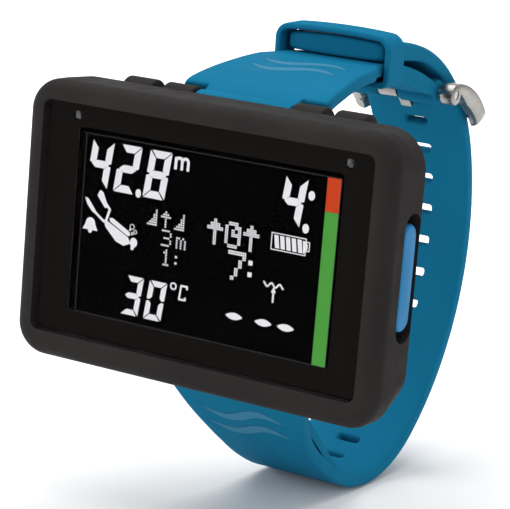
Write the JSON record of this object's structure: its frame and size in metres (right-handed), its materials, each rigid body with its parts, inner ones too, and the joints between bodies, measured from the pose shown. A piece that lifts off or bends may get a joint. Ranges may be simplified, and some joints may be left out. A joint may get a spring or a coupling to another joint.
{
  "type": "dive computer",
  "caption": "Wrist dive computer: rounded box with a large display window, side buttons, screw-in battery cap and a buckled rubber strap.",
  "frame": {"origin": "centre of the rear plate's outer face, which rests on the wrist", "axes": "+Y from the display through the rear plate towards the wrist, so the display faces -Y; +Z towards 12 o'clock; +X towards 3 o'clock"},
  "size_m": [0.0736, 0.0855, 0.0865],
  "materials": {
    "body_plastic": "fine moulded texture",
    "lens_glass": "polished",
    "black_film": "printed black",
    "seal_rubber": "matt",
    "display_glass": "polished",
    "diffuser_plastic": "satin",
    "pressed_steel": "pressed",
    "flex_film": "satin",
    "clear_resin": "polished",
    "board_laminate": "solder mask",
    "chip_plastic": "matt",
    "fastener_steel": "satin",
    "cell_steel": "drawn",
    "contact_metal": "plated",
    "sensor_steel": "satin",
    "buzzer_brass": "satin",
    "plate_plastic": "fine moulded texture",
    "pin_steel": "ground",
    "spring_steel": "drawn",
    "strap_rubber": "soft matt",
    "button_plastic": "satin",
    "buckle_steel": "polished"
  },
  "bodies": {
    "computer": {"housing": "body_plastic", "lens": "lens_glass", "display_mask": "black_film", "lens_gasket": "seal_rubber", "lcd_panel": "display_glass", "backlight": "diffuser_plastic", "display_tray": "pressed_steel", "display_ribbon": "flex_film", "status_light": "clear_resin", "light_sensor": "clear_resin", "main_board": "board_laminate", "board_chips": "chip_plastic", "board_screws": "fastener_steel", "battery_cell": "cell_steel", "battery_spring": "contact_metal", "battery_side_contact": "contact_metal", "pressure_sensor": "sensor_steel", "pressure_sensor_seal": "seal_rubber", "water_contacts": "contact_metal", "buzzer": "buzzer_brass", "rear_plate": "plate_plastic", "rear_plate_screws": "fastener_steel", "button_right_switch": "chip_plastic", "button_left_switch": "chip_plastic", "button_right_seal": "seal_rubber", "button_left_seal": "seal_rubber", "button_right_spring": "spring_steel", "button_left_spring": "spring_steel", "strap_pin_upper": "pin_steel", "strap_pin_lower": "pin_steel", "strap_short": "strap_rubber", "strap_long": "strap_rubber", "buckle_hinge_bar": "pin_steel"},
    "cap_seal_ring": {"battery_cap_seal": "seal_rubber"},
    "battery_cap_body": {"battery_cap": "plate_plastic"},
    "button_right": {"button_right_cap": "button_plastic", "button_right_stem": "pin_steel", "button_right_clip": "fastener_steel"},
    "button_left": {"button_left_cap": "button_plastic", "button_left_stem": "pin_steel", "button_left_clip": "fastener_steel"},
    "keeper": {"strap_keeper": "strap_rubber"},
    "buckle_frame_body": {"buckle_frame": "buckle_steel"},
    "buckle_prong_body": {"buckle_prong": "buckle_steel"}
  },
  "joints": [
    {"name": "button_right_press", "type": "slide", "parent": "computer", "child": "button_right", "axis": [-1, 0, 0], "range_m": [0, 0.0009], "stiffness_N_per_m": 1500, "springref_m": -0.0006, "deforming": ["button_right_spring"]},
    {"name": "button_left_press", "type": "slide", "parent": "computer", "child": "button_left", "axis": [1, 0, 0], "range_m": [0, 0.0009], "stiffness_N_per_m": 1500, "springref_m": -0.0006, "deforming": ["button_left_spring"]},
    {"name": "battery_cap_lift", "type": "slide", "parent": "computer", "child": "cap_seal_ring", "axis": [0, 1, 0], "range_m": [0, 0.00375]},
    {"name": "battery_cap_turn", "type": "hinge", "parent": "cap_seal_ring", "child": "battery_cap_body", "pos_m": [-0.01, 0, 0], "axis": [0, 1, 0], "range_deg": [0, 1080]},
    {"name": "keeper_slide", "type": "hinge", "parent": "computer", "child": "keeper", "pos_m": [0, 0.02722, -0.01908], "axis": [1, 0, 0], "range_deg": [-3, 0.6]},
    {"name": "buckle_frame_swing", "type": "hinge", "parent": "computer", "child": "buckle_frame_body", "pos_m": [0, 0.0467, 0.0223], "axis": [1, 0, 0], "range_deg": [0, 2]},
    {"name": "buckle_prong_swing", "type": "hinge", "parent": "buckle_frame_body", "child": "buckle_prong_body", "pos_m": [0, 0.0467, 0.0223], "axis": [1, 0, 0], "range_deg": [0, 2]}
  ],
  "couplings": [
    {"joint": "battery_cap_lift", "follows": "battery_cap_turn", "m_per_rad": 0.00019894}
  ]
}
